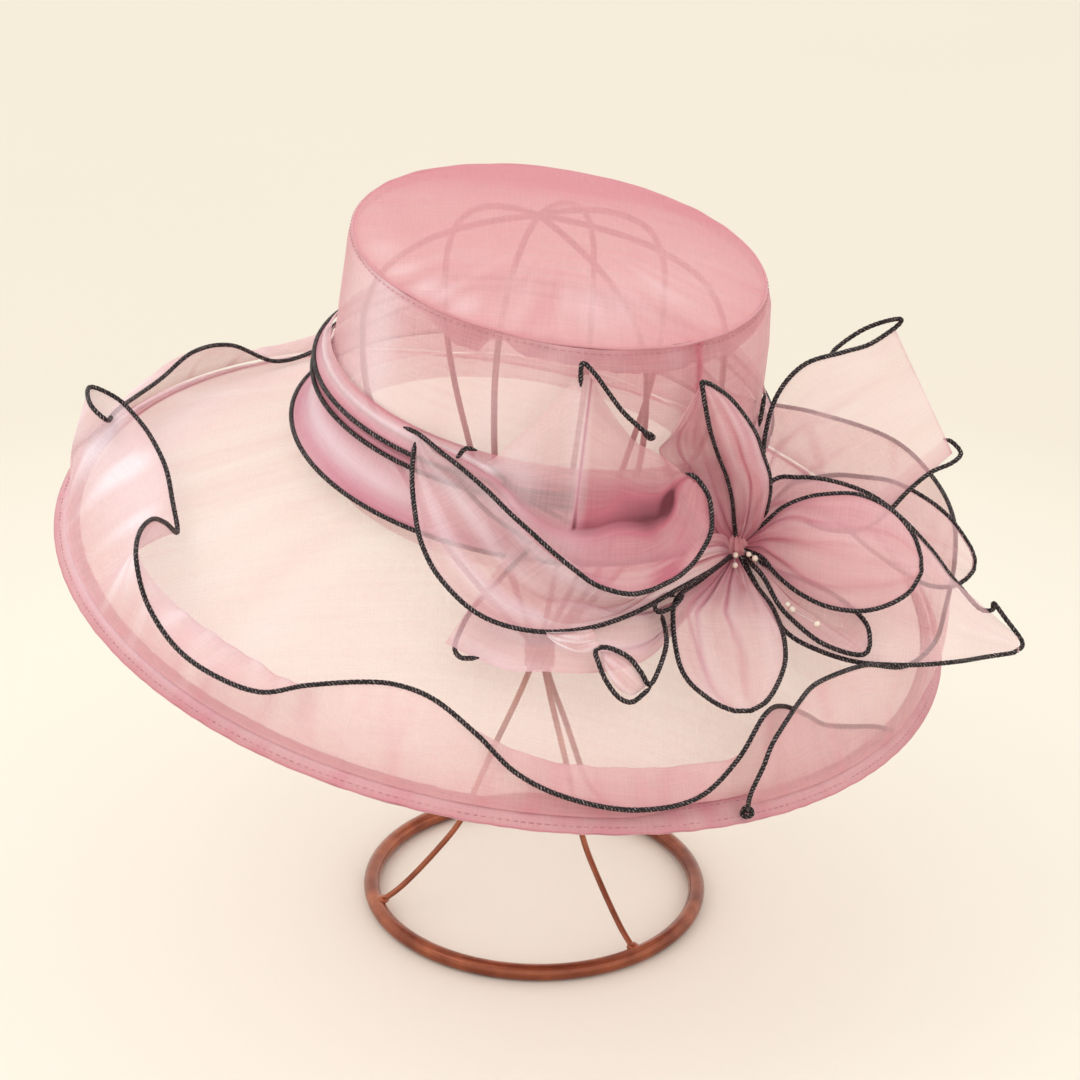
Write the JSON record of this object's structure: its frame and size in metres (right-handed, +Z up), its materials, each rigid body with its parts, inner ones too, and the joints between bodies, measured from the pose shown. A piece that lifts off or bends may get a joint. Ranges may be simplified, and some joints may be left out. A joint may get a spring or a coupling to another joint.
{
  "type": "wide-brim sun hat on a wire hat stand",
  "caption": "Sheer organza sun hat with a sloping frilled brim and a corded bow flower, hanging on a round-based wire hat stand.",
  "frame": {"origin": "middle of the whole part's box, on the ground under the stand's ring", "axes": "+Z up, +X to the wearer's left (the flower's side), -Y towards the front of the hat"},
  "size_m": [0.4462, 0.4452, 0.3646],
  "materials": {
    "organza": "sheer satin organza",
    "rose_cloth": "double organza",
    "black_cord": "matt whipped thread over wire",
    "bronze_wire": "satin bronze paint"
  },
  "bodies": {
    "root": {"crown_wall": "organza", "sash_upper": "organza", "sash_middle": "organza", "sash_lower": "organza", "brim": "organza", "brim_frill": "organza", "petal_1": "organza", "petal_2": "organza", "petal_3": "organza", "petal_3_wing": "organza", "petal_4": "organza", "petal_5": "organza", "petal_6": "organza", "petal_7": "organza", "petal_8": "organza", "petal_9": "organza", "petal_10": "organza", "petal_10_curl": "organza", "crown_tip": "rose_cloth", "tip_seam_allowance": "rose_cloth", "brim_hem": "rose_cloth", "flower_knot": "rose_cloth", "frill_cord": "black_cord", "sash_cord_1": "black_cord", "sash_cord_2": "black_cord", "sash_cord_3": "black_cord", "cord_1": "black_cord", "cord_2": "black_cord", "cord_2_tip": "black_cord", "cord_3": "black_cord", "cord_4": "black_cord", "cord_4_side": "black_cord", "cord_5": "black_cord", "cord_6": "black_cord", "cord_7": "black_cord", "cord_8": "black_cord", "cord_9": "black_cord", "cord_10": "black_cord", "cord_10_curl": "black_cord", "stand_ring": "bronze_wire", "stand_leg_1": "bronze_wire", "stand_leg_2": "bronze_wire", "stand_leg_3": "bronze_wire", "stand_collar": "bronze_wire", "stand_top": "bronze_wire", "stand_rib_1": "bronze_wire", "stand_rib_2": "bronze_wire", "stand_rib_3": "bronze_wire", "stand_rib_4": "bronze_wire", "stand_rib_5": "bronze_wire", "stand_rib_6": "bronze_wire", "stand_rib_7": "bronze_wire"}
  },
  "joints": []
}
